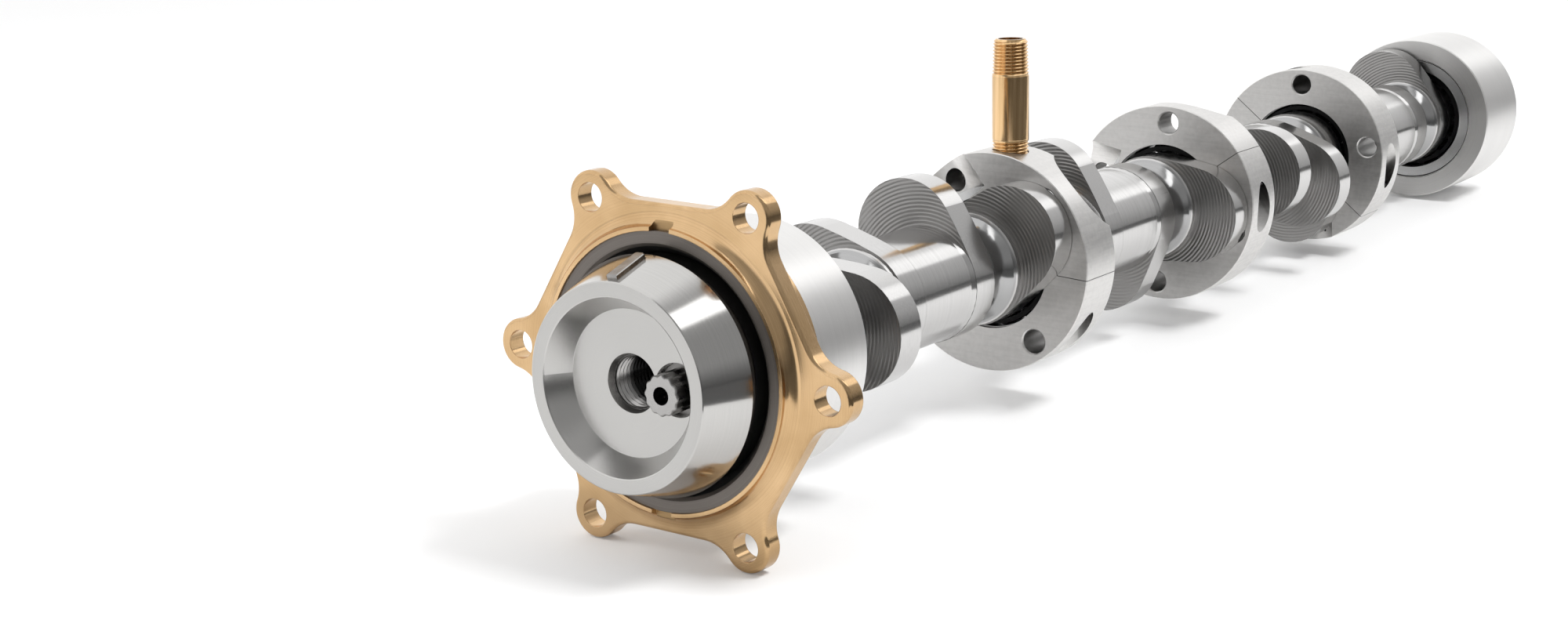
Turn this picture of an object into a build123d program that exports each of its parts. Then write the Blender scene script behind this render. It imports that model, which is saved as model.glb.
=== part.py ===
# A racing camshaft with split needle bearing carriers, end housings, drive adapter and bronze seal plate.
# Millimetres. X runs rearwards along the cam axis, Z is up, and the origin is on the axis in the front face
# of the plate's six ears. Angles named "turn" are seen from the front: 0 is to the right (-Y), 90 is up.

from math import atan2, cos, radians, sin, sqrt, tan
import os

from build123d import *

os.makedirs("parts", exist_ok=True)

# Bearing line
bearing_pitch = 111.77
first_carrier_x = 147.74
carrier_width = 16.94
housing_r = 31.14
running = 0.03

# Shaft and lobes
journal_r = 15.9
base_r = 16.3
lift = 13.3
nose_r = 15.0
flank_r = 150.0
lobe_width = 9.4
lobe_starts = (54.0, 78.5, 113.6, 138.2)
lobe_turns = (2, 158, 116, 40, 137, 117, -105, -3, -130, 19, -13, -85, 100, -126, -154, 123)
ring_width = 2.2
neck_r = 12.9
neck_edge_r = 15.4
land_relief = 2.2
front_journal_r = 18.4
nose_x = 12.0
front_journal_end = 38.5
shaft_recess = 4.2
shaft_bore_r = 5.0
shaft_bore_end = 60.0
edge = 0.4

# Drive adapter
rim_x = -19.05
rim_r = 24.4
dish_r = 20.89
floor_x = -13.01
floor_r = 17.2
sleeve_r = 27.6
sleeve_end = 8.0
cone_end = -5.8
cone_step = 0.9
hub_r = 18.2
thread_r = 6.35
lead_r = 6.95
lead_depth = 1.8
bolt_offset = 12.8
bolt_rise = 0.4
bolt_seat_x = -9.4
bolt_seat_r = 6.25
bolt_r = 3.97
bolt_tip_x = 26.0
bolt_flange_r = 5.9
bolt_flange = 1.6
bolt_head_r = 4.9
bolt_corner_r = 4.75
bolt_hollow_r = 2.1
bolt_hollow = 8.0
bolt_edge = 0.35
key_width = 2.8
key_length = 11.2
key_height = 1.2
key_sink = 1.6
key_x = -18.1
key_turn = 92.6
key_edge = 0.2

# Seal plate and seal
bolt_hole_r = 3.5
ear_r = 6.25
ear_out = 5.155
flat_land = 1.8
ear_blend = 9.2
plate_thickness = 4.8
plate_edge = 0.9
lip_x = -2.71
lip_land = 0.96
cove_size = 3.2
pilot_step = 0.8
pilot_end = 10.2
shoulder_land = 3.58
shoulder_x = 6.8
notch_width = 5.6
notch_reach = 2.82
notch_corner = 1.6
notch_floor_x = -0.9
case_x = -2.2
seal_section = 5.48
case_opening = 1.8
case_sheet = 1.2
case_edge = 0.8
lip_clear = 0.05

# End housings
housing_gap = 0.4
front_housing_length = 26.1
front_race_share = 0.458
rear_housing_gap = 2.17
rear_housing_length = 36.12
rear_race_share = 0.358
race_inset = 0.8
end_roller = 3.2
end_race_length = 24.0
rear_race_length = 30.0

# Split carriers
carrier_turns = (-2.8, 36.8, 141.9)
carrier_bore_gap = 0.14
carrier_race_share = 0.2035
race_seat_width = 13.2
roller = 2.7
carrier_edge = 0.25
face_hole_edge = 0.4
face_hole_in = 0.37
face_hole_turn = 51.0
screw_in = 1.62
screw_gap = 0.25
screw_bore_gap = 0.4
screw_reach = 10.0
pocket_r = 13.9
pocket_floor = 17.8
pocket_turn = 48.0
front_pocket_out = 6.3
rear_pocket_out = 5.4
pin_hole_r = 0.6
pin_hole_in = 3.04
pin_hole_turn = 148.0
pin_hole_depth = 10.0

# Needle sets
roller_count = 14
cage_wall = 1.3

# Oil nipple
nipple_r = 5.14
nipple_bore_r = 3.4
nipple_out = 30.76
nipple_in = 6.84
nipple_lean = 91.8
nipple_y = -1.6
nipple_side = 31.0
oil_hole_r = 2.0

# Sizes that follow from the ones above
tip_r = base_r + lift
cone_r = sleeve_r + cone_step
seat_r = sleeve_r + seal_section
case_inner_r = sleeve_r + case_opening
lip_r = seat_r + lip_land
cove_r = lip_r + sqrt(cove_size**2 - (cove_size + lip_x) ** 2)
pilot_r = cove_r - pilot_step
flat_r = cove_r + flat_land
bolt_circle_r = flat_r + ear_out
shoulder_r = seat_r - shoulder_land
notch_out_r = seat_r + notch_reach
front_housing_x = pilot_end + housing_gap
front_housing_end = front_housing_x + front_housing_length
front_race_bore = front_journal_r + end_roller + 2 * running
front_race_r = front_race_bore + front_race_share * (housing_r - front_race_bore)
rear_housing_x = lobe_starts[3] + lobe_width + 3 * bearing_pitch + rear_housing_gap
rear_housing_end = rear_housing_x + rear_housing_length
rear_race_bore = journal_r + end_roller + 2 * running
end_race_r = rear_race_bore + rear_race_share * (housing_r - rear_race_bore)
shaft_end = rear_housing_end - shaft_recess
race_bore = journal_r + roller + 2 * running
carrier_bore_r = race_bore + carrier_bore_gap
race_seat_r = race_bore + carrier_race_share * (housing_r - race_bore)
carrier_wall = housing_r - race_seat_r
face_hole_r = 0.342 * carrier_wall
face_hole_at = race_seat_r + carrier_wall / 2 - face_hole_in
screw_at = race_seat_r + carrier_wall / 2 - screw_in
screw_r = 0.2515 * carrier_wall
screw_head_r = 1.7 * screw_r
screw_head = 2 * screw_r
screw_seat = sqrt(race_seat_r**2 - (screw_at - screw_head_r) ** 2) + screw_bore_gap
screw_key_r = 0.92 * screw_r
pin_hole_at = housing_r - pin_hole_in
nipple_top = housing_r + nipple_out
nipple_foot = housing_r - nipple_in


def face(x, turn=0.0):
    # Plane across the axis at x: local x points left and local y up when seen from the front, both turned.
    a = radians(turn)
    return Plane(origin=(x, 0, 0), x_dir=(0, cos(a), -sin(a)), z_dir=(1, 0, 0))


def spot(r, turn):
    # Point on a face plane at radius r in the front view direction turn.
    return (-r * cos(radians(turn)), r * sin(radians(turn)))


def on_cone(x, turn):
    # Plane on the adapter's outer cone: local x runs back along the cone and local z points out of it.
    a = radians(turn)
    slope = atan2(cone_r - rim_r, cone_end - rim_x)
    r = rim_r + (x - rim_x) * tan(slope)
    return Plane(
        origin=(x, -r * cos(a), r * sin(a)),
        x_dir=(cos(slope), -sin(slope) * cos(a), sin(slope) * sin(a)),
        z_dir=(-sin(slope), -cos(slope) * cos(a), cos(slope) * sin(a)),
    )


def bevelled_ring(x, end, outer, inner):
    # Ring along the axis with its four edges broken.
    with BuildPart() as ring:
        with BuildSketch(face(x)):
            Circle(outer)
            Circle(inner, mode=Mode.SUBTRACT)
        extrude(amount=end - x)
        chamfer(ring.edges().filter_by(GeomType.CIRCLE), edge)
    return ring.part


def half_ring(x, end, outer, inner, turn, upper):
    # Half ring above or below the split line of a carrier.
    side = 1 if upper else -1
    with BuildPart() as half:
        with BuildSketch(face(x, turn)):
            Circle(outer)
            Circle(inner, mode=Mode.SUBTRACT)
            with Locations((0, -side * outer)):
                Rectangle(4 * outer, 2 * outer, mode=Mode.SUBTRACT)
        extrude(amount=end - x)
    return half.part


def hole_edges(edges, r):
    # Round edges of one radius.
    return edges.filter_by(GeomType.CIRCLE).filter_by(lambda e: abs(e.radius - r) < running)


def needle_set(x, end, inner, size):
    # Needle rollers in their cage, one assembly that turns as one.
    pitch_r = inner + running + size / 2
    with BuildPart() as needles:
        with BuildSketch(face(x)):
            Circle(pitch_r + cage_wall / 2)
            Circle(pitch_r - cage_wall / 2, mode=Mode.SUBTRACT)
        extrude(amount=end - x)
        with BuildSketch(face(x + 1.2)):
            with PolarLocations(pitch_r, roller_count):
                Circle(size / 2)
        extrude(amount=end - x - 2.4)
    return needles.part


def save(part, name):
    part.label = name
    export_step(part, "parts/" + name + ".step")


# Camshaft: one revolved shaft with four lobes in each of four spans
nose_at = tip_r - nose_r
flank_x = ((flank_r - base_r) ** 2 - (flank_r - nose_r) ** 2 + nose_at**2) / (2 * nose_at)
flank_y = sqrt((flank_r - base_r) ** 2 - flank_x**2)


def away(centre, through, r):
    # Point at distance r from centre on the ray from the flank centre through it.
    dx, dy = centre[0] - through[0], centre[1] - through[1]
    n = sqrt(dx * dx + dy * dy)
    return (centre[0] + r * dx / n, centre[1] + r * dy / n)


flank_centre = (flank_x, -flank_y)
heel_end = away((0, 0), flank_centre, base_r)
nose_start = away((nose_at, 0), flank_centre, nose_r)
mid = ((heel_end[0] + nose_start[0]) / 2, (heel_end[1] + nose_start[1]) / 2)
flank_mid = away(mid, flank_centre, flank_r - sqrt((mid[0] - flank_x) ** 2 + (mid[1] + flank_y) ** 2))


def flip(p):
    return (p[0], -p[1])


with BuildPart() as camshaft:
    with BuildSketch(Plane.XY):
        with BuildLine():
            Line((nose_x, 0), (nose_x, front_journal_r - edge))
            Line((nose_x, front_journal_r - edge), (nose_x + edge, front_journal_r))
            Line((nose_x + edge, front_journal_r), (front_journal_end, front_journal_r))
            Line((front_journal_end, front_journal_r), (front_journal_end, journal_r))
            start = (front_journal_end, journal_r)
            for span in range(4):
                shift = span * bearing_pitch
                for pair in (0, 2):
                    first = lobe_starts[pair] + lobe_width + shift
                    second = lobe_starts[pair + 1] + shift
                    if pair == 2:
                        land_foot = (first - lobe_width - land_relief, journal_r)
                        Line(start, land_foot)
                        Line(land_foot, (first - lobe_width, base_r - 0.1))
                        Line((first - lobe_width, base_r - 0.1), (first, base_r - 0.1))
                        Line((first, base_r - 0.1), (first, neck_edge_r))
                    else:
                        Line(start, (first, journal_r))
                        Line((first, journal_r), (first, neck_edge_r))
                    ThreePointArc(
                        (first, neck_edge_r),
                        ((first + second - ring_width) / 2, neck_r),
                        (second - ring_width, neck_edge_r - 0.5),
                    )
                    Line((second - ring_width, neck_edge_r - 0.5), (second - ring_width + 0.5, journal_r))
                    start = (second - ring_width + 0.5, journal_r)
            Line(start, (shaft_end - 1, journal_r))
            Line((shaft_end - 1, journal_r), (shaft_end, journal_r - 1))
            Line((shaft_end, journal_r - 1), (shaft_end, 0))
            Line((shaft_end, 0), (nose_x, 0))
        make_face()
    revolve(axis=Axis.X)
    for i, turn in enumerate(lobe_turns):
        x = lobe_starts[i % 4] + bearing_pitch * (i // 4)
        with BuildSketch(face(x, turn + 180)):
            with BuildLine():
                ThreePointArc(heel_end, flank_mid, nose_start)
                ThreePointArc(nose_start, (tip_r, 0), flip(nose_start))
                ThreePointArc(flip(nose_start), flip(flank_mid), flip(heel_end))
                ThreePointArc(flip(heel_end), (-base_r, 0), heel_end)
            make_face()
        extrude(amount=lobe_width)
    with BuildSketch(face(nose_x)):
        Circle(shaft_bore_r)
    extrude(amount=shaft_bore_end - nose_x, mode=Mode.SUBTRACT)
    with BuildSketch(face(nose_x)):
        with Locations((-bolt_offset, bolt_rise)):
            Circle(bolt_r)
    extrude(amount=bolt_tip_x + 2 - nose_x, mode=Mode.SUBTRACT)
save(camshaft.part, "camshaft")

# Drive adapter: a dished cup with a coned outside, a threaded centre and one seat for a flanged bolt
key_seat = on_cone(key_x, key_turn)
key_out = Axis((0, 0, 0), key_seat.z_dir)
key_back = Axis((0, 0, 0), key_seat.x_dir)

with BuildPart() as adapter:
    with BuildSketch(Plane.XY):
        with BuildLine():
            Polyline(
                (floor_x, 0),
                (floor_x, floor_r),
                (rim_x, dish_r),
                (rim_x, rim_r),
                (cone_end, cone_r),
                (cone_end, sleeve_r),
                (sleeve_end, sleeve_r),
                (sleeve_end, hub_r),
                (nose_x, hub_r),
                (nose_x, 0),
                close=True,
            )
        make_face()
    revolve(axis=Axis.X)
    rims = adapter.edges().filter_by(GeomType.CIRCLE)
    chamfer(rims.filter_by_position(Axis.X, rim_x, rim_x) + [rims.sort_by(SortBy.RADIUS)[-1]], edge / 2)
    with BuildSketch(face(floor_x)):
        Circle(thread_r)
    extrude(amount=nose_x - floor_x, mode=Mode.SUBTRACT)
    with BuildSketch(Plane.XY):
        with BuildLine():
            Polyline(
                (floor_x, 0),
                (floor_x, lead_r),
                (floor_x + lead_depth, thread_r),
                (floor_x + lead_depth, 0),
                close=True,
            )
        make_face()
    revolve(axis=Axis.X, mode=Mode.SUBTRACT)
    with BuildSketch(face(rim_x)):
        with Locations((-bolt_offset, bolt_rise)):
            Circle(bolt_seat_r)
    extrude(amount=bolt_seat_x - rim_x, mode=Mode.SUBTRACT)
    with BuildSketch(face(bolt_seat_x)):
        with Locations((-bolt_offset, bolt_rise)):
            Circle(bolt_r)
    extrude(amount=nose_x - bolt_seat_x, mode=Mode.SUBTRACT)
    with BuildSketch(key_seat.offset(-key_sink)):
        with Locations((key_length / 2, 0)):
            Rectangle(key_length, key_width)
    extrude(amount=key_sink + key_height, mode=Mode.SUBTRACT)
save(adapter.part, "drive_adapter")

with BuildPart() as key:
    with BuildSketch(key_seat.offset(-key_sink)):
        with Locations((key_length / 2, 0)):
            Rectangle(key_length, key_width)
    extrude(amount=key_sink + key_height)
    fillet(key.edges().filter_by(key_out).group_by(key_back)[-1], key_width / 4)
    chamfer(key.faces().sort_by(key_out)[-1].edges(), key_edge)
save(key.part, "drive_key")

with BuildPart() as adapter_bolt:
    with BuildSketch(face(rim_x)):
        with Locations((-bolt_offset, bolt_rise)):
            for turn in (0, 30):
                RegularPolygon(bolt_head_r, 6, rotation=turn)
            Circle(bolt_corner_r, mode=Mode.INTERSECT)
    extrude(amount=bolt_seat_x - rim_x)
    chamfer(adapter_bolt.faces().sort_by(Axis.X)[0].edges(), bolt_edge)
    with BuildSketch(face(bolt_seat_x - bolt_flange)):
        with Locations((-bolt_offset, bolt_rise)):
            Circle(bolt_flange_r)
    extrude(amount=bolt_flange)
    with BuildSketch(face(bolt_seat_x)):
        with Locations((-bolt_offset, bolt_rise)):
            Circle(bolt_r)
    extrude(amount=bolt_tip_x - bolt_seat_x)
    with BuildSketch(face(rim_x)):
        with Locations((-bolt_offset, bolt_rise)):
            Circle(bolt_hollow_r)
    extrude(amount=bolt_hollow, mode=Mode.SUBTRACT)
save(adapter_bolt.part, "adapter_bolt")

# Seal plate: six ears blended into six flats, a coved lip in front and a pilot behind
with BuildPart() as seal_plate:
    with BuildSketch(face(0)) as outline:
        RegularPolygon(flat_r, 6, major_radius=False)
        with PolarLocations(bolt_circle_r, 6):
            Circle(ear_r)
        fillet(outline.vertices(), ear_blend)
    extrude(amount=plate_thickness)
    fillet(seal_plate.edges().group_by(Axis.X)[0], plate_edge)
    with BuildSketch(Plane.XY):
        with BuildLine():
            Line((lip_x, seat_r), (lip_x, lip_r))
            RadiusArc((lip_x, lip_r), (0, cove_r), -cove_size)
            Line((0, cove_r), (1, cove_r))
            Line((1, cove_r), (1, seat_r))
            Line((1, seat_r), (lip_x, seat_r))
        make_face()
    revolve(axis=Axis.X)
    with BuildSketch(face(plate_thickness)):
        Circle(pilot_r)
    extrude(amount=pilot_end - plate_thickness)
    chamfer(seal_plate.edges().group_by(Axis.X)[-1], edge)
    with BuildSketch(face(lip_x)):
        Circle(seat_r)
    extrude(amount=shoulder_x - lip_x, mode=Mode.SUBTRACT)
    with BuildSketch(face(shoulder_x)):
        Circle(shoulder_r)
    extrude(amount=pilot_end - shoulder_x, mode=Mode.SUBTRACT)
    with BuildSketch(face(0)):
        with PolarLocations(bolt_circle_r, 6):
            Circle(bolt_hole_r)
    extrude(amount=plate_thickness, mode=Mode.SUBTRACT)
    with BuildSketch(face(lip_x)):
        RectangleRounded(notch_width, 2 * notch_out_r, notch_corner)
    extrude(amount=notch_floor_x - lip_x, mode=Mode.SUBTRACT)
save(seal_plate.part, "seal_plate")

with BuildPart() as seal_case:
    with BuildSketch(Plane.XY):
        with BuildLine():
            Polyline(
                (case_x, seat_r),
                (case_x, case_inner_r + case_edge),
                (case_x + case_edge, case_inner_r),
                (case_x + case_sheet, case_inner_r),
                (case_x + case_sheet, seat_r - case_sheet),
                (shoulder_x, seat_r - case_sheet),
                (shoulder_x, seat_r),
                close=True,
            )
        make_face()
    revolve(axis=Axis.X)
save(seal_case.part, "seal_case")

with BuildPart() as seal_lip:
    with BuildSketch(Plane.XY):
        with BuildLine():
            Polyline(
                (case_x + case_sheet, seat_r - case_sheet),
                (case_x + case_sheet, case_inner_r),
                (case_x + case_sheet + 0.8, sleeve_r + 1.2),
                (case_x + case_sheet + 2.4, sleeve_r + lip_clear),
                (case_x + case_sheet + 3.2, sleeve_r + lip_clear),
                (case_x + case_sheet + 4.4, sleeve_r + 2.0),
                (shoulder_x - 0.6, sleeve_r + 2.8),
                (shoulder_x, seat_r - case_sheet - 1.2),
                (shoulder_x, seat_r - case_sheet),
                close=True,
            )
        make_face()
    revolve(axis=Axis.X)
save(seal_lip.part, "seal_lip")

# Front housing with its race and needles
front_race_x = front_housing_x + race_inset
save(bevelled_ring(front_housing_x, front_housing_end, housing_r, front_race_r), "front_housing")
front_race_end = front_race_x + end_race_length
save(bevelled_ring(front_race_x, front_race_end, front_race_r, front_race_bore), "front_race")
save(
    needle_set(front_race_x + 3, front_race_end - 1, front_journal_r, end_roller),
    "front_needles",
)

# Rear housing with its race and needles
rear_race_x = rear_housing_x + race_inset
save(bevelled_ring(rear_housing_x, rear_housing_end, housing_r, end_race_r), "rear_housing")
rear_race_end = rear_race_x + rear_race_length
save(bevelled_ring(rear_race_x, rear_race_end, end_race_r, rear_race_bore), "rear_race")
save(needle_set(rear_race_x + 3, rear_race_end - 1, journal_r, end_roller), "rear_needles")

# Three split carriers, each an upper and a lower half held by two clamp screws
for letter, index in zip("abc", range(3)):
    turn = carrier_turns[index]
    x = first_carrier_x + index * bearing_pitch
    end = x + carrier_width
    seat_x = x + (carrier_width - race_seat_width) / 2
    middle = x + carrier_width / 2
    tilt = radians(turn)
    up = (0, sin(tilt), cos(tilt))

    with BuildPart() as upper:
        add(half_ring(x, end, housing_r, carrier_bore_r, turn, True))
        chamfer(upper.edges().filter_by(GeomType.CIRCLE).sort_by(SortBy.RADIUS)[-2:], carrier_edge)
        with BuildSketch(face(seat_x, turn)):
            Circle(race_seat_r)
        extrude(amount=race_seat_width, mode=Mode.SUBTRACT)
        with BuildSketch(face(x, turn)):
            with Locations(spot(face_hole_at, face_hole_turn), spot(face_hole_at, 180 - face_hole_turn)):
                Circle(face_hole_r)
        extrude(amount=carrier_width, mode=Mode.SUBTRACT)
        chamfer(hole_edges(upper.edges(), face_hole_r), face_hole_edge)
        with BuildSketch(face(x, turn)):
            with Locations(spot(pin_hole_at, pin_hole_turn)):
                Circle(pin_hole_r)
        extrude(amount=pin_hole_depth, mode=Mode.SUBTRACT)
        front_pocket = (x - front_pocket_out, 180 - pocket_turn)
        rear_pocket = (end + rear_pocket_out, pocket_turn)
        for pocket_x, rel in (front_pocket, rear_pocket):
            out = radians(rel + turn)
            ray = (0, -cos(out), sin(out))
            floor = Plane(
                origin=(pocket_x, pocket_floor * ray[1], pocket_floor * ray[2]), x_dir=(1, 0, 0), z_dir=ray
            )
            with BuildSketch(floor):
                Circle(pocket_r)
            extrude(amount=housing_r, mode=Mode.SUBTRACT)
        for side in (-1, 1):
            foot = Plane(
                origin=(middle, side * screw_at * cos(tilt), -side * screw_at * sin(tilt)),
                x_dir=(1, 0, 0),
                z_dir=up,
            )
            with BuildSketch(foot):
                Circle(screw_r)
            extrude(amount=screw_reach, mode=Mode.SUBTRACT)
        if letter == "a":
            lean = radians(nipple_lean)
            post = Plane(
                origin=(middle, nipple_y + nipple_side * cos(lean), nipple_side * (1 - sin(lean))),
                x_dir=(1, 0, 0),
                z_dir=(0, -cos(lean), sin(lean)),
            )
            with BuildSketch(post.offset(nipple_foot)):
                Circle(nipple_r)
            extrude(amount=housing_r, mode=Mode.SUBTRACT)
            with BuildSketch(post.offset(carrier_bore_r)):
                Circle(oil_hole_r)
            extrude(amount=housing_r, mode=Mode.SUBTRACT)
    save(upper.part, "carrier_" + letter + "_upper")

    with BuildPart() as lower:
        add(half_ring(x, end, housing_r, carrier_bore_r, turn, False))
        chamfer(lower.edges().filter_by(GeomType.CIRCLE).sort_by(SortBy.RADIUS)[-2:], carrier_edge)
        with BuildSketch(face(seat_x, turn)):
            Circle(race_seat_r)
        extrude(amount=race_seat_width, mode=Mode.SUBTRACT)
        with BuildSketch(face(x, turn)):
            with Locations(spot(face_hole_at, 180 + face_hole_turn), spot(face_hole_at, -face_hole_turn)):
                Circle(face_hole_r)
        extrude(amount=carrier_width, mode=Mode.SUBTRACT)
        chamfer(hole_edges(lower.edges(), face_hole_r), face_hole_edge)
        for side in (-1, 1):
            foot = Plane(
                origin=(middle, side * screw_at * cos(tilt), -side * screw_at * sin(tilt)),
                x_dir=(1, 0, 0),
                z_dir=up,
            )
            with BuildSketch(foot):
                Circle(screw_r + screw_gap)
            extrude(amount=-screw_seat, mode=Mode.SUBTRACT)
            with BuildSketch(foot.offset(-screw_seat)):
                Circle(screw_head_r + screw_bore_gap)
            extrude(amount=-housing_r, mode=Mode.SUBTRACT)
    save(lower.part, "carrier_" + letter + "_lower")

    with BuildPart() as screws:
        for side in (-1, 1):
            foot = Plane(
                origin=(middle, side * screw_at * cos(tilt), -side * screw_at * sin(tilt)),
                x_dir=(1, 0, 0),
                z_dir=up,
            )
            with BuildSketch(foot.offset(screw_reach)):
                Circle(screw_r)
            extrude(amount=-screw_reach - screw_seat)
            with BuildSketch(foot.offset(-screw_seat)):
                Circle(screw_head_r)
            extrude(amount=-screw_head)
            with BuildSketch(foot.offset(-screw_seat - screw_head)):
                RegularPolygon(screw_key_r, 6)
            extrude(amount=screw_head / 2, mode=Mode.SUBTRACT)
    save(screws.part, "clamp_screws_" + letter)

    race_end = seat_x + race_seat_width
    save(half_ring(seat_x, race_end, race_seat_r, race_bore, turn, True), "race_" + letter + "_upper")
    save(half_ring(seat_x, race_end, race_seat_r, race_bore, turn, False), "race_" + letter + "_lower")
    save(needle_set(seat_x + 0.5, race_end - 0.5, journal_r, roller), "needles_" + letter)

# Oil nipple screwed into the first carrier
with BuildPart() as nipple:
    with BuildSketch(post.offset(nipple_foot)):
        Circle(nipple_r)
        Circle(nipple_bore_r, mode=Mode.SUBTRACT)
    extrude(amount=nipple_top - nipple_foot)
save(nipple.part, "oil_nipple")
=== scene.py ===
from math import cos, pi, radians, sin

import bpy
from mathutils import Matrix, Vector


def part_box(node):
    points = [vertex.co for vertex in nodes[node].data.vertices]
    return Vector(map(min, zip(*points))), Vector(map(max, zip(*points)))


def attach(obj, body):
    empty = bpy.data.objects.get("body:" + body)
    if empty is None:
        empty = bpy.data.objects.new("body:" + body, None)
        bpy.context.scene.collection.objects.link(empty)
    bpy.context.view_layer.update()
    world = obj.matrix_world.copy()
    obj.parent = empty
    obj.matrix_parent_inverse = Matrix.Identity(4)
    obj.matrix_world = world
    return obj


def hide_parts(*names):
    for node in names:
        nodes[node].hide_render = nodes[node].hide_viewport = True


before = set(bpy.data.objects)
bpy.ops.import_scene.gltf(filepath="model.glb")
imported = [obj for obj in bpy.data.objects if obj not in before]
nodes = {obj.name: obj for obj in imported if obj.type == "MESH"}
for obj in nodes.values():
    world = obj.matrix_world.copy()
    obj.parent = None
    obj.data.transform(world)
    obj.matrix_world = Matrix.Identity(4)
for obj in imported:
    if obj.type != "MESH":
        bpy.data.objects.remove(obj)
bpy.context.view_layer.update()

MM = 0.001

# Camera, in the frame of the part: X runs back along the cam axis and Z is up
CAMERA_TURN = radians(-55.403)
CAMERA_RISE = radians(13.471)
CAMERA_ROLL = radians(0.245)
CAMERA_SIDE = 0.026800
CAMERA_LIFT = 0.012033
CAMERA_AWAY = 0.528985
FOCAL_PIXELS = 2940.84
PHOTO_WIDTH = 2000
SENSOR = 36.0
CLIP_NEAR = 0.01
CLIP_FAR = 50


def add_camera():
    flat = Vector((sin(CAMERA_TURN), -cos(CAMERA_TURN), 0))
    back = cos(CAMERA_RISE) * flat + Vector((0, 0, sin(CAMERA_RISE)))
    level = Vector((cos(CAMERA_TURN), sin(CAMERA_TURN), 0))
    upright = back.cross(level)
    right = cos(CAMERA_ROLL) * level + sin(CAMERA_ROLL) * upright
    up = -sin(CAMERA_ROLL) * level + cos(CAMERA_ROLL) * upright
    data = bpy.data.cameras.new("camera")
    data.sensor_width = SENSOR
    data.lens = SENSOR * FOCAL_PIXELS / PHOTO_WIDTH
    data.clip_start = CLIP_NEAR
    data.clip_end = CLIP_FAR
    camera = bpy.data.objects.new("camera", data)
    place = CAMERA_SIDE * right + CAMERA_LIFT * up + CAMERA_AWAY * back
    camera.matrix_world = Matrix.Translation(place) @ Matrix((right, up, back)).transposed().to_4x4()
    bpy.context.scene.collection.objects.link(camera)
    bpy.context.scene.camera = camera


class Nodes:
    """A node tree with short calls for what the materials and the room below share."""

    def __init__(self, tree):
        self.tree = tree

    def new(self, kind, **values):
        node = self.tree.nodes.new(kind)
        for key, value in values.items():
            setattr(node, key, value)
        return node

    def link(self, a, b):
        self.tree.links.new(a, b)

    def feed(self, socket, value):
        if isinstance(value, bpy.types.NodeSocket):
            self.link(value, socket)
        else:
            socket.default_value = value

    def parts(self, vector):
        node = self.new("ShaderNodeSeparateXYZ")
        self.link(vector, node.inputs[0])
        return node.outputs["X"], node.outputs["Y"], node.outputs["Z"]

    def math(self, operation, a, b=0.0):
        node = self.new("ShaderNodeMath", operation=operation)
        self.feed(node.inputs[0], a)
        self.feed(node.inputs[1], b)
        return node.outputs[0]

    def add(self, a, b):
        return self.math("ADD", a, b)

    def times(self, a, b):
        return self.math("MULTIPLY", a, b)

    def between(self, factor, a, b):
        # The number a where the factor is 0, and b where it is 1.
        return self.add(self.times(factor, b - a), a)

    def blend(self, a, b, share):
        # A share of a and the rest of b.
        return self.add(self.times(a, share), self.times(b, 1 - share))

    def ramp(self, value, low, high, out_low=0.0, out_high=1.0):
        node = self.new("ShaderNodeMapRange", interpolation_type="SMOOTHSTEP")
        self.feed(node.inputs["Value"], value)
        ends = (("From Min", low), ("From Max", high), ("To Min", out_low), ("To Max", out_high))
        for key, number in ends:
            node.inputs[key].default_value = number
        return node.outputs["Result"]

    def mix(self, factor, a, b):
        node = self.new("ShaderNodeMix", data_type="RGBA")
        self.feed(node.inputs["Factor"], factor)
        self.feed(node.inputs["A"], a)
        self.feed(node.inputs["B"], b)
        return node.outputs["Result"]

    def window(self, value, low, high, soft):
        # 1 between low and high, 0 outside, with soft edges.
        rise = self.ramp(value, low - soft, low + soft)
        fall = self.ramp(value, high - soft, high + soft, 1.0, 0.0)
        return self.times(rise, fall)


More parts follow.
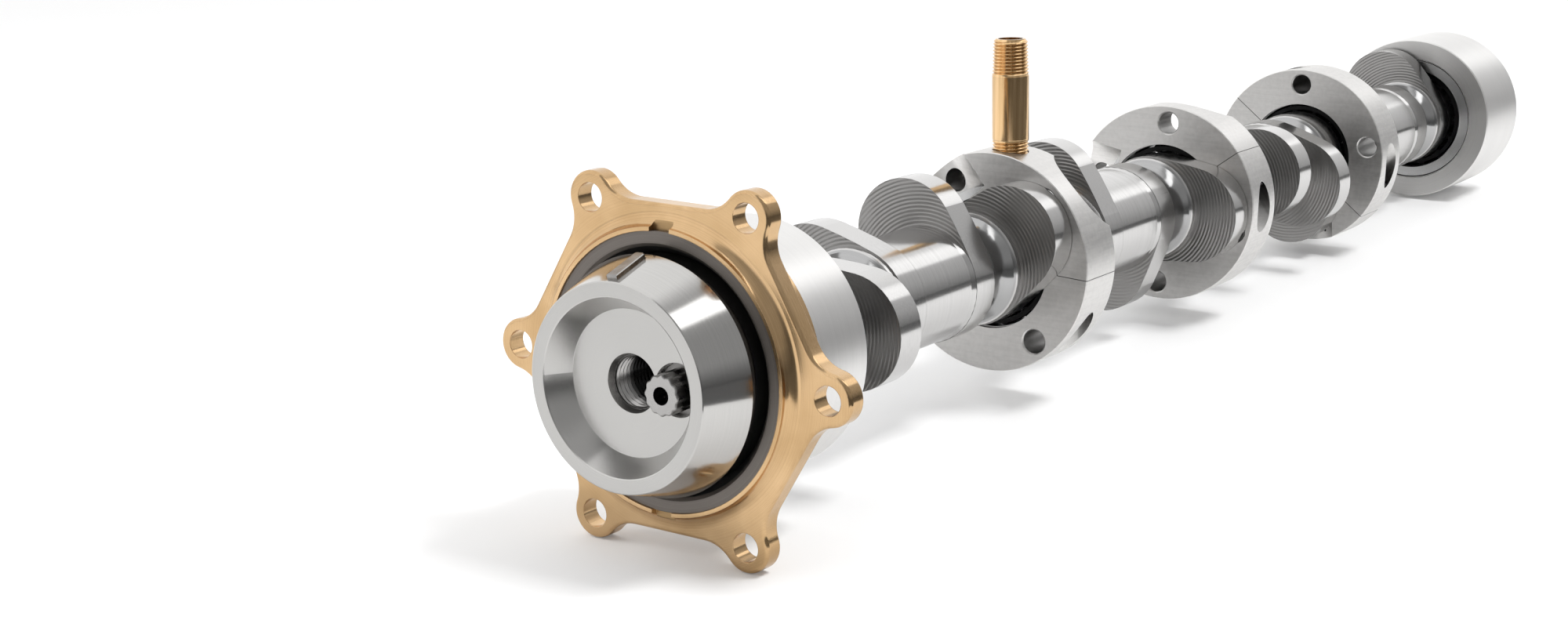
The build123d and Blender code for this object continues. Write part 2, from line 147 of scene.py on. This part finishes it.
class Paint(Nodes):
    """A material on the Principled shader."""

    SOCKETS = {
        "color": "Base Color",
        "metallic": "Metallic",
        "roughness": "Roughness",
        "normal": "Normal",
        "anisotropic": "Anisotropic",
        "rotation": "Anisotropic Rotation",
        "tangent": "Tangent",
        "specular": "Specular IOR Level",
    }

    def __init__(self, name):
        self.material = bpy.data.materials.new(name)
        self.material.use_nodes = True
        super().__init__(self.material.node_tree)
        self.shader = self.tree.nodes["Principled BSDF"]
        self.shader.distribution = "GGX"

    def set(self, **values):
        for key, value in values.items():
            self.feed(self.shader.inputs[self.SOCKETS[key]], value)
        return self.material

    def spot(self):
        return self.new("ShaderNodeTexCoord").outputs["Object"]

    def place(self):
        # X along the cam axis and the distance from it, in metres.
        x, y, z = self.parts(self.spot())
        flat = self.new("ShaderNodeCombineXYZ")
        self.link(y, flat.inputs["Y"])
        self.link(z, flat.inputs["Z"])
        length = self.new("ShaderNodeVectorMath", operation="LENGTH")
        self.link(flat.outputs[0], length.inputs[0])
        return x, length.outputs["Value"]

    def noise(self, scale, detail=3.0, stretch=(1, 1, 1)):
        node = self.new("ShaderNodeTexNoise")
        node.inputs["Scale"].default_value = scale
        node.inputs["Detail"].default_value = detail
        mapping = self.new("ShaderNodeMapping")
        mapping.inputs["Scale"].default_value = stretch
        self.link(self.spot(), mapping.inputs["Vector"])
        self.link(mapping.outputs["Vector"], node.inputs["Vector"])
        return node.outputs["Fac"]

    def streaks(self, x, r, scale):
        # Fine lathe lines: the same all round the axis, changing along it and outwards.
        pair = self.new("ShaderNodeCombineXYZ")
        self.link(x, pair.inputs["X"])
        self.link(r, pair.inputs["Y"])
        node = self.new("ShaderNodeTexNoise", noise_dimensions="2D")
        node.inputs["Scale"].default_value = scale
        node.inputs["Detail"].default_value = 2.0
        self.link(pair.outputs[0], node.inputs["Vector"])
        return node.outputs["Fac"]

    def facing(self):
        # 1 on faces across the cam axis, 0 on faces round it.
        along = self.parts(self.new("ShaderNodeTexCoord").outputs["Normal"])[0]
        return self.ramp(self.math("ABSOLUTE", along), 0.93, 0.985)

    def open_sky(self, reach):
        # 1 on open faces, less inside holes and pockets: the mask for painted shade.
        node = self.new("ShaderNodeAmbientOcclusion", samples=6, only_local=True)
        node.inputs["Distance"].default_value = reach
        return self.ramp(node.outputs["AO"], 0.3, 0.9)

    def edges(self, radius):
        # Normal that rounds sharp edges by a small radius.
        node = self.new("ShaderNodeBevel", samples=4)
        node.inputs["Radius"].default_value = radius
        return node.outputs["Normal"]

    def bump(self, height, distance, strength=1.0, normal=None):
        node = self.new("ShaderNodeBump")
        node.inputs["Distance"].default_value = distance
        node.inputs["Strength"].default_value = strength
        self.link(height, node.inputs["Height"])
        if normal is not None:
            self.link(normal, node.inputs["Normal"])
        return node.outputs["Normal"]

    def brushed(self, amount):
        # Highlights stretched across lathe lines that run round the cam axis.
        cross = self.new("ShaderNodeVectorMath", operation="CROSS_PRODUCT")
        cross.inputs[0].default_value = (1, 0, 0)
        self.link(self.spot(), cross.inputs[1])
        turn = self.new(
            "ShaderNodeVectorTransform",
            vector_type="VECTOR",
            convert_from="OBJECT",
            convert_to="WORLD",
        )
        self.link(cross.outputs[0], turn.inputs[0])
        unit = self.new("ShaderNodeVectorMath", operation="NORMALIZE")
        self.link(turn.outputs[0], unit.inputs[0])
        self.set(anisotropic=amount, rotation=0.25, tangent=unit.outputs[0])


BLACK = (0, 0, 0, 1)


def grey(value, warm=0.0):
    return (value * (1 + warm), value, value * (1 - warm), 1)


# Depth of the finest lathe lines, and the radius of machined edges
LATHE_DEPTH = 0.002 * MM
EDGE_R = 0.2 * MM


def turned(name, tone, face_tone, rough, face_rough, tint=(1, 1, 1, 1)):
    """Lathe-turned metal: fine lines round the axis and faint patches. Faces across the axis have their
    own finish, and narrow gaps are darkened with painted shade."""
    n = Paint(name)
    x, r = n.place()
    face = n.facing()
    fine = n.streaks(x, r, 5000)
    mix = n.blend(fine, n.noise(60), 0.6)
    level = n.times(n.between(face, tone, face_tone), n.ramp(mix, 0.3, 0.7, 0.97, 1.03))
    # Painted shade: the colour is darker inside holes, pockets and narrow gaps.
    level = n.times(level, n.between(n.open_sky(4 * MM), 0.2, 1.0))
    n.brushed(0.45)
    return n.set(
        color=n.mix(level, BLACK, tint),
        metallic=1.0,
        roughness=n.times(n.between(face, rough, face_rough), n.ramp(mix, 0.25, 0.75, 0.95, 1.05)),
        normal=n.bump(fine, LATHE_DEPTH, 1.0, n.edges(EDGE_R)),
    )


def milled(name, tone, face_tone, rough, turn):
    """Machined aluminium of a split carrier: a fine satin grain with long faint cutter lines, greyer on
    its faces, with the dark line where its halves meet and painted shade in its pockets and holes."""
    n = Paint(name)
    height = n.new("ShaderNodeVectorMath", operation="DOT_PRODUCT")
    height.inputs[0].default_value = (0, sin(radians(turn)), cos(radians(turn)))
    n.link(n.spot(), height.inputs[1])
    seam = n.ramp(n.math("ABSOLUTE", height.outputs["Value"]), 0.08 * MM, 0.15 * MM, 1.0, 0.0)
    grain = n.noise(700, 4)
    lines = n.noise(90, 3, (1, 1, 14))
    mix = n.blend(n.blend(grain, lines, 0.5), n.noise(35, 2), 0.7)
    level = n.times(n.between(n.facing(), tone, face_tone), n.ramp(mix, 0.35, 0.65, 0.88, 1.05))
    level = n.times(level, n.between(seam, 1.0, 0.1))
    # Painted shade: the colour is darker inside pockets, holes and narrow gaps.
    level = n.times(level, n.between(n.open_sky(12 * MM), 0.35, 1.0))
    return n.set(
        color=n.mix(level, BLACK, (1, 0.985, 0.965, 1)),
        metallic=1.0,
        roughness=n.ramp(mix, 0.3, 0.7, rough * 0.85, rough * 1.2),
        normal=n.bump(grain, 0.02 * MM, 0.6, n.edges(EDGE_R)),
    )


def plain_metal(name, color, rough):
    """Metal with an even fine grain."""
    n = Paint(name)
    grain = n.noise(250, 6)
    low = tuple(0.8 * c for c in color[:3]) + (1,)
    return n.set(
        color=n.mix(n.ramp(grain, 0.35, 0.65), low, color),
        metallic=1.0,
        roughness=n.ramp(grain, 0.3, 0.7, rough * 0.8, rough * 1.2),
        normal=n.bump(grain, 0.01 * MM, 1.0, n.edges(0.1 * MM)),
    )


# Camshaft: pitch and depth of the cutter's rings, and the radius below which a neck begins
RING_PITCH = 1.05 * MM
RING_DEPTH = 0.06 * MM
NECK_R = 15.3 * MM


def cam_steel():
    """Ground lobes and journals, with the cutter's rings left on the lobes' faces."""
    n = Paint("cam_steel")
    x, r = n.place()
    face = n.facing()
    ring = n.math("SINE", n.times(r, 2 * pi / RING_PITCH))
    ring = n.times(ring, n.ramp(n.noise(90, 2), 0.35, 0.6, 0.35, 1.0))
    fine = n.streaks(x, r, 5000)
    neck = n.ramp(r, NECK_R, NECK_R + 0.3 * MM, 1.0, 0.0)
    shade = n.mix(face, grey(0.62, 0.012), grey(0.31, 0.02))
    shade = n.mix(neck, shade, grey(0.44))
    shade = n.mix(n.ramp(fine, 0.3, 0.7, 0.0, 0.12), shade, grey(0.25))
    normal = n.bump(fine, LATHE_DEPTH, 1.0, n.edges(EDGE_R))
    n.brushed(0.5)
    return n.set(
        color=shade,
        metallic=1.0,
        roughness=n.add(n.times(face, 0.22), n.ramp(fine, 0.3, 0.7, 0.12, 0.16)),
        normal=n.bump(n.times(ring, face), RING_DEPTH, 1.0, normal),
    )


# Radius of the dish in the adapter's front
DISH_R = 20.9 * MM


def adapter_steel():
    """Turned steel: polished round the outer cone, satin in the dish and on the faces."""
    n = Paint("adapter_steel")
    x, r = n.place()
    face = n.facing()
    satin = n.math("MAXIMUM", face, n.ramp(r, DISH_R, DISH_R + 0.3 * MM, 1.0, 0.0))
    fine = n.streaks(x, r, 5000)
    mix = n.blend(fine, n.noise(60), 0.6)
    level = n.times(n.between(face, 0.55, 0.49), n.ramp(mix, 0.3, 0.7, 0.97, 1.03))
    n.brushed(0.35)
    return n.set(
        color=n.mix(level, BLACK, (1, 0.985, 0.96, 1)),
        metallic=1.0,
        roughness=n.add(n.times(satin, 0.10), n.ramp(mix, 0.25, 0.75, 0.11, 0.13)),
        normal=n.bump(fine, LATHE_DEPTH, 1.0, n.edges(EDGE_R)),
    )


# The bolt's head is worn bright in front of the first X and dark behind the second
BRIGHT_X = -18.95 * MM
DARK_X = -18.8 * MM


def bolt_steel():
    """Dark oxide, worn bright on the head's front face."""
    n = Paint("bolt_steel")
    x = n.parts(n.spot())[0]
    front = n.ramp(x, BRIGHT_X, DARK_X, 1.0, 0.0)
    grain = n.noise(300, 5)
    dark = n.mix(n.ramp(grain, 0.35, 0.65), grey(0.14, 0.03), grey(0.22, 0.03))
    return n.set(
        color=n.mix(front, dark, grey(0.40, 0.02)),
        metallic=1.0,
        roughness=n.ramp(grain, 0.3, 0.7, 0.22, 0.34),
        normal=n.bump(grain, 0.01 * MM, 1.0, n.edges(0.15 * MM)),
    )


# Where the painted shade in the centre hole starts, and where it is at its darkest
SHADE_START = -8.5 * MM
SHADE_DARKEST = -4.8 * MM


def thread_steel():
    """Bright at the hole's mouth, with painted shade that deepens farther in."""
    n = Paint("thread_steel")
    x = n.parts(n.spot())[0]
    grain = n.noise(250, 5)
    return n.set(
        # Painted shade: the thread's colour darkens to near black deep in the hole.
        color=n.mix(n.ramp(x, SHADE_START, SHADE_DARKEST), grey(0.42, 0.02), grey(0.015)),
        metallic=1.0,
        roughness=n.ramp(grain, 0.3, 0.7, 0.18, 0.26),
        normal=n.bump(grain, 0.01 * MM),
    )


# Pry notches of the plate
NOTCH_HALF_WIDTH = 2.8 * MM
NOTCH_OUT_R = 35.9 * MM
NOTCH_CORNER = 1.5 * MM
NOTCH_BACK_X = -0.7 * MM
NOTCH_SOFT = 0.1 * MM


def notches(n):
    # 1 on the floors of the two pry notches, which have rounded corners, and 0 elsewhere.
    x, y, z = n.parts(n.spot())
    side = n.math("SUBTRACT", n.math("ABSOLUTE", y), NOTCH_HALF_WIDTH - NOTCH_CORNER)
    out = n.math("SUBTRACT", n.math("ABSOLUTE", z), NOTCH_OUT_R - NOTCH_CORNER)
    side = n.math("MAXIMUM", side, 0.0)
    out = n.math("MAXIMUM", out, 0.0)
    apart = n.math("SQRT", n.add(n.times(side, side), n.times(out, out)))
    inside = n.ramp(apart, NOTCH_CORNER - NOTCH_SOFT, NOTCH_CORNER + NOTCH_SOFT, 1.0, 0.0)
    return n.times(inside, n.ramp(x, NOTCH_BACK_X, NOTCH_BACK_X + 2 * NOTCH_SOFT, 1.0, 0.0))


def bronze():
    """Turned bronze, with the floors of the two pry notches duller and darkened with painted shade."""
    n = Paint("bronze")
    x, r = n.place()
    fine = n.streaks(x, r, 4500)
    tone = n.blend(fine, n.noise(55, 5), 0.3)
    notch = notches(n)
    color = n.mix(n.ramp(tone, 0.3, 0.7), (0.52, 0.34, 0.17, 1), (0.73, 0.50, 0.28, 1))
    n.brushed(0.35)
    return n.set(
        # Painted shade: the notch floors take a darker bronze.
        color=n.mix(notch, color, (0.44, 0.29, 0.145, 1)),
        metallic=1.0,
        roughness=n.add(n.ramp(tone, 0.3, 0.7, 0.12, 0.18), n.times(notch, 0.3)),
        normal=n.bump(fine, 0.003 * MM, 1.0, n.edges(0.3 * MM)),
    )


def brass():
    """Drawn brass with fine lines along it, and painted shade in the valleys of its threads."""
    n = Paint("nipple_brass")
    fine = n.noise(900, 2, (1, 1, 0.03))
    valley = n.ramp(n.new("ShaderNodeNewGeometry").outputs["Pointiness"], 0.42, 0.5, 0.45, 1.0)
    color = n.mix(n.ramp(fine, 0.3, 0.7), (0.70, 0.46, 0.23, 1), (0.88, 0.61, 0.34, 1))
    return n.set(
        # Painted shade: near-black colour in the thread valleys.
        color=n.mix(valley, (0.10, 0.05, 0.02, 1), color),
        metallic=1.0,
        roughness=n.ramp(fine, 0.3, 0.7, 0.15, 0.22),
        normal=n.bump(fine, LATHE_DEPTH),
    )


def rubber():
    """Black rubber with a faint grain."""
    n = Paint("seal_rubber")
    grain = n.noise(400, 4)
    return n.set(
        color=n.mix(grain, (0.006, 0.006, 0.006, 1), (0.014, 0.013, 0.013, 1)),
        roughness=n.ramp(grain, 0.3, 0.7, 0.35, 0.55),
        normal=n.bump(grain, 0.03 * MM),
    )


def seal_steel():
    """Coated sheet steel of the seal's case."""
    n = Paint("seal_case")
    x, r = n.place()
    fine = n.streaks(x, r, 3000)
    n.brushed(0.4)
    return n.set(
        color=n.mix(fine, (0.135, 0.120, 0.108, 1), (0.205, 0.185, 0.168, 1)),
        metallic=0.85,
        roughness=n.ramp(fine, 0.3, 0.7, 0.30, 0.42),
        normal=n.bump(fine, 0.01 * MM, 1.0, n.edges(0.3 * MM)),
    )


def paint(material, *names):
    for name in names:
        slots = nodes[name].data.materials
        slots.clear()
        slots.append(material)


# Turn of each carrier's split line about the cam axis, in degrees
CARRIER_TURNS = {"a": -2.8, "b": 36.8, "c": 141.9}

housing_aluminium = turned("housing_aluminium", 0.92, 0.56, 0.42, 0.34, (1, 0.99, 0.975, 1))
# Painted shade: the races' bores and round faces are nearly black, standing for the shade in the bearing
# gaps.
race_steel = turned("race_steel", 0.06, 0.52, 0.30, 0.26)
screw_steel = plain_metal("screw_steel", grey(0.14, 0.02), 0.32)
# Painted shade: the needles are nearly black, standing for the shade in the bearing gaps.
needle_steel = plain_metal("needle_steel", grey(0.02), 0.5)

paint(cam_steel(), "camshaft")
paint(adapter_steel(), "drive_adapter")
paint(plain_metal("key_steel", grey(0.34, 0.03), 0.25), "drive_key")
paint(bolt_steel(), "adapter_bolt")
paint(bronze(), "seal_plate")
paint(seal_steel(), "seal_case")
paint(rubber(), "seal_lip")
paint(housing_aluminium, "front_housing", "rear_housing")
paint(race_steel, "front_race", "rear_race")
paint(needle_steel, "front_needles", "rear_needles")
for letter, turn in CARRIER_TURNS.items():
    aluminium = milled("carrier_aluminium_" + letter, 0.84, 0.54, 0.38, turn)
    paint(aluminium, "carrier_" + letter + "_upper", "carrier_" + letter + "_lower")
    paint(race_steel, "race_" + letter + "_upper", "race_" + letter + "_lower")
    paint(needle_steel, "needles_" + letter)
    paint(screw_steel, "clamp_screws_" + letter)

# Threads: points in a row, rows in a turn, and the gain and cut that leave flats at crest and root
THREAD_SIDES = 72
STEPS_PER_TURN = 10
FLANK_GAIN = 1.3
ROOT_CUT = 0.15


def threaded(name, rows, pitch, base, along, material, body):
    """A turned piece with threads. Each row is its distance along the axis, its radius and the height of
    the thread there."""
    turn = Vector((0, 0, 1)).rotation_difference(along).to_matrix()
    points = []
    for up, radius, height in rows:
        for j in range(THREAD_SIDES):
            phase = (up / pitch - j / THREAD_SIDES) % 1.0
            wave = min(max(FLANK_GAIN * (1 - abs(2 * phase - 1)) - ROOT_CUT, 0.0), 1.0)
            r = radius + height * wave
            a = 2 * pi * j / THREAD_SIDES
            points.append(base + turn @ Vector((r * cos(a), r * sin(a), up)))
    faces = []
    for i in range(len(rows)):
        near = i * THREAD_SIDES
        far = (i + 1) % len(rows) * THREAD_SIDES
        for j in range(THREAD_SIDES):
            k = (j + 1) % THREAD_SIDES
            faces.append((near + j, near + k, far + k, far + j))
    mesh = bpy.data.meshes.new(name)
    mesh.from_pydata(points, [], faces)
    mesh.shade_smooth()
    mesh.set_sharp_from_angle(angle=radians(35))
    mesh.materials.append(material)
    piece = bpy.data.objects.new(name, mesh)
    bpy.context.scene.collection.objects.link(piece)
    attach(piece, body)
    return piece


# Nipple: taper pipe threads at both ends of a plain tube
NIPPLE_R = 5.14 * MM
NIPPLE_BORE = 3.4 * MM
NIPPLE_PITCH = 25.4 / 27 * MM
NIPPLE_THREAD = 10.3 * MM
NIPPLE_FOOT_THREAD = 10.0 * MM
NIPPLE_DEPTH = 0.45 * MM
NIPPLE_CHAMFER = 0.6 * MM
TAPER = 1 / 32


def add_nipple():
    low, high = (Vector(corner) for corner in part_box("oil_nipple"))
    foot = Vector(((low.x + high.x) / 2, low.y + NIPPLE_R, low.z))
    top = Vector((foot.x, high.y - NIPPLE_R, high.z))
    length = (top - foot).length
    step = NIPPLE_PITCH / STEPS_PER_TURN
    rows = []
    up = 0.0
    while up < NIPPLE_FOOT_THREAD:
        fade = min(1.0, (NIPPLE_FOOT_THREAD - up) / NIPPLE_PITCH)
        crest = NIPPLE_R - TAPER * (NIPPLE_FOOT_THREAD - up)
        rows.append((up, crest - NIPPLE_DEPTH * fade, NIPPLE_DEPTH * fade))
        up += step
    up = length - NIPPLE_THREAD
    rows += [(NIPPLE_FOOT_THREAD + step, NIPPLE_R, 0.0), (up - step, NIPPLE_R, 0.0)]
    while up < length - NIPPLE_CHAMFER:
        fade = min(1.0, (up - length + NIPPLE_THREAD) / NIPPLE_PITCH)
        crest = NIPPLE_R - TAPER * (up - length + NIPPLE_THREAD)
        rows.append((up, crest - NIPPLE_DEPTH * fade, NIPPLE_DEPTH * fade))
        up += step
    rim = NIPPLE_R - TAPER * NIPPLE_THREAD - NIPPLE_DEPTH - NIPPLE_CHAMFER / 2
    rows += [(length, rim, 0.0), (length, NIPPLE_BORE, 0.0), (0.0, NIPPLE_BORE, 0.0)]
    along = top - foot
    piece = threaded(
        "nipple_threads", rows, NIPPLE_PITCH, foot, along, brass(), "carrier_a"
    )
    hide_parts("oil_nipple")


# Thread inside the adapter's centre hole
HOLE_START = -11.2 * MM
HOLE_END = 4.0 * MM
HOLE_R = 6.35 * MM
HOLE_PITCH = 25.4 / 20 * MM
HOLE_DEPTH = 0.62 * MM
HOLE_CLEAR = 0.03 * MM


def add_hole_thread():
    length = HOLE_END - HOLE_START
    rows = [(0.0, HOLE_R, 0.0)]
    up = 0.0
    while up < length:
        fade = min(1.0, up / HOLE_PITCH)
        rows.append((up, HOLE_R - HOLE_CLEAR, -HOLE_DEPTH * fade))
        up += HOLE_PITCH / STEPS_PER_TURN
    rows.append((length, HOLE_R, 0.0))
    base = Vector((HOLE_START, 0, 0))
    along = Vector((1, 0, 0))
    threaded("hole_thread", rows, HOLE_PITCH, base, along, thread_steel(), "shaft")


add_nipple()
add_hole_thread()

# Studio: a pale floor that the plate's lower ears and the rear housing stand on
EAR_FOOT = Vector((4.8 * MM, 0, -44.49 * MM))
REAR_FOOT = Vector((521.0 * MM, 0, -31.14 * MM))
FLOOR_HALF = 3.0
FLOOR_DROP = 0.1 * MM
FLOOR_GREY = 0.80
FLOOR_GLOW = 0.13

# Dark card on the floor, on the camera's side: its outline in X and Y, in metres, and its lift
CARD_LIFT = 2 * MM
CARD_EDGE = (
    (3.0, -3.0),
    (3.0, -0.1),
    (1.2, -0.2),
    (0.5, -0.22),
    (0.08, -0.15),
    (-0.09, -0.185),
    (-0.15, -0.03),
    (-3.0, 0.6),
    (-3.0, -3.0),
)

# Room, in turns about the vertical from the cam axis's rear end and in heights on a unit sphere
BEHIND_START = (radians(-45), radians(15))
BEHIND_END = (radians(164), radians(178))
BEHIND_LEVEL = 1.15
WALL_HEIGHTS = (-0.02, 0.30)
WALL_LEVELS = (0.14, 0.38)
CEILING_HEIGHTS = (0.6, 0.9)
CEILING_LEVELS = (0.0, 0.12)
BOX_TURNS = (radians(-84), radians(-5))
BOX_HEIGHTS = (0.28, 0.55)
BOX_LEAN = 0.467
BOX_FADE = (radians(-45), radians(-15))
BOX_LEVELS = (1.9, 0.7)


def add_flat(name, points, material):
    mesh = bpy.data.meshes.new(name)
    mesh.from_pydata(points, [], [range(len(points))])
    mesh.materials.append(material)
    sheet = bpy.data.objects.new(name, mesh)
    bpy.context.scene.collection.objects.link(sheet)
    return sheet


def add_floor():
    along = (REAR_FOOT - EAR_FOOT).normalized()
    across = Vector((0, 1, 0))
    normal = Vector((-along.z, 0, along.x))
    middle = (EAR_FOOT + REAR_FOOT) / 2 - normal * FLOOR_DROP
    n = Paint("floor_white")
    diffuse = n.new("ShaderNodeBsdfDiffuse")
    diffuse.inputs["Color"].default_value = grey(FLOOR_GREY)
    glow = n.new("ShaderNodeEmission")
    path = n.new("ShaderNodeLightPath")
    n.link(n.times(path.outputs["Is Camera Ray"], FLOOR_GLOW), glow.inputs["Strength"])
    total = n.new("ShaderNodeAddShader")
    n.link(diffuse.outputs[0], total.inputs[0])
    n.link(glow.outputs[0], total.inputs[1])
    n.link(total.outputs[0], n.tree.nodes["Material Output"].inputs["Surface"])
    n.tree.nodes.remove(n.shader)
    corners = ((-1, -1), (1, -1), (1, 1), (-1, 1))
    points = [middle + (along * sx + across * sy) * FLOOR_HALF for sx, sy in corners]
    add_flat("floor", points, n.material)


def add_card():
    # Only reflections see the card.
    slope = (REAR_FOOT.z - EAR_FOOT.z) / (REAR_FOOT.x - EAR_FOOT.x)
    foot = EAR_FOOT.z + CARD_LIFT
    n = Paint("card_dark")
    color = n.mix(n.noise(3), grey(0.08), grey(0.11))
    points = [Vector((x, y, foot + slope * (x - EAR_FOOT.x))) for x, y in CARD_EDGE]
    card = add_flat("card", points, n.set(color=color, roughness=0.9, specular=0.0))
    card.visible_camera = False
    card.visible_diffuse = False
    card.visible_shadow = False


def add_softbox(name, place, aim, width, depth, power):
    # Lamp for the floor and the dull surfaces. Bare metal reflects the room's own softbox instead.
    data = bpy.data.lights.new(name, "AREA")
    data.shape = "RECTANGLE"
    data.size = width
    data.size_y = depth
    data.energy = power
    lamp = bpy.data.objects.new(name, data)
    lamp.location = place
    lamp.rotation_euler = (Vector(aim) - Vector(place)).to_track_quat("-Z", "Y").to_euler()
    lamp.visible_glossy = False
    bpy.context.scene.collection.objects.link(lamp)


def add_world():
    """White behind the object for the camera. For light and reflections, a room that is dim on the
    camera's side and pale behind, with one long softbox that leans up the right side."""
    world = bpy.data.worlds.new("studio")
    bpy.context.scene.world = world
    world.use_nodes = True
    n = Nodes(world.node_tree)
    x, y, rise = n.parts(n.new("ShaderNodeTexCoord").outputs["Generated"])
    turn = n.math("ARCTAN2", y, x)
    behind = n.math("MINIMUM", n.ramp(turn, *BEHIND_START), n.ramp(turn, *BEHIND_END, 1.0, 0.0))
    wall = n.ramp(rise, *WALL_HEIGHTS, *WALL_LEVELS)
    dim = n.add(wall, n.ramp(rise, *CEILING_HEIGHTS, *CEILING_LEVELS))
    room = n.add(dim, n.times(behind, n.math("SUBTRACT", BEHIND_LEVEL, dim)))
    band = n.window(n.add(rise, n.times(turn, BOX_LEAN)), *BOX_HEIGHTS, 0.03)
    box = n.times(n.window(turn, *BOX_TURNS, 0.1), band)
    level = n.add(room, n.times(box, n.ramp(turn, *BOX_FADE, *BOX_LEVELS)))
    path = n.new("ShaderNodeLightPath")
    seen = n.math("MAXIMUM", path.outputs["Is Camera Ray"], path.outputs["Is Transmission Ray"])
    shade = n.add(seen, n.times(n.math("SUBTRACT", 1.0, seen), level))
    background = n.tree.nodes["Background"]
    background.inputs["Color"].default_value = (1, 1, 1, 1)
    n.link(shade, background.inputs["Strength"])


add_floor()
add_card()
add_softbox("key", place=(0.3, -0.72, 1.24), aim=(0.2, 0, 0), width=0.45, depth=0.3, power=13)
add_softbox("fill", place=(-0.35, 0.45, 0.5), aim=(-0.05, 0.15, -0.04), width=0.4, depth=0.4, power=1.2)
add_world()
add_camera()
bpy.context.scene.view_settings.view_transform = "Standard"
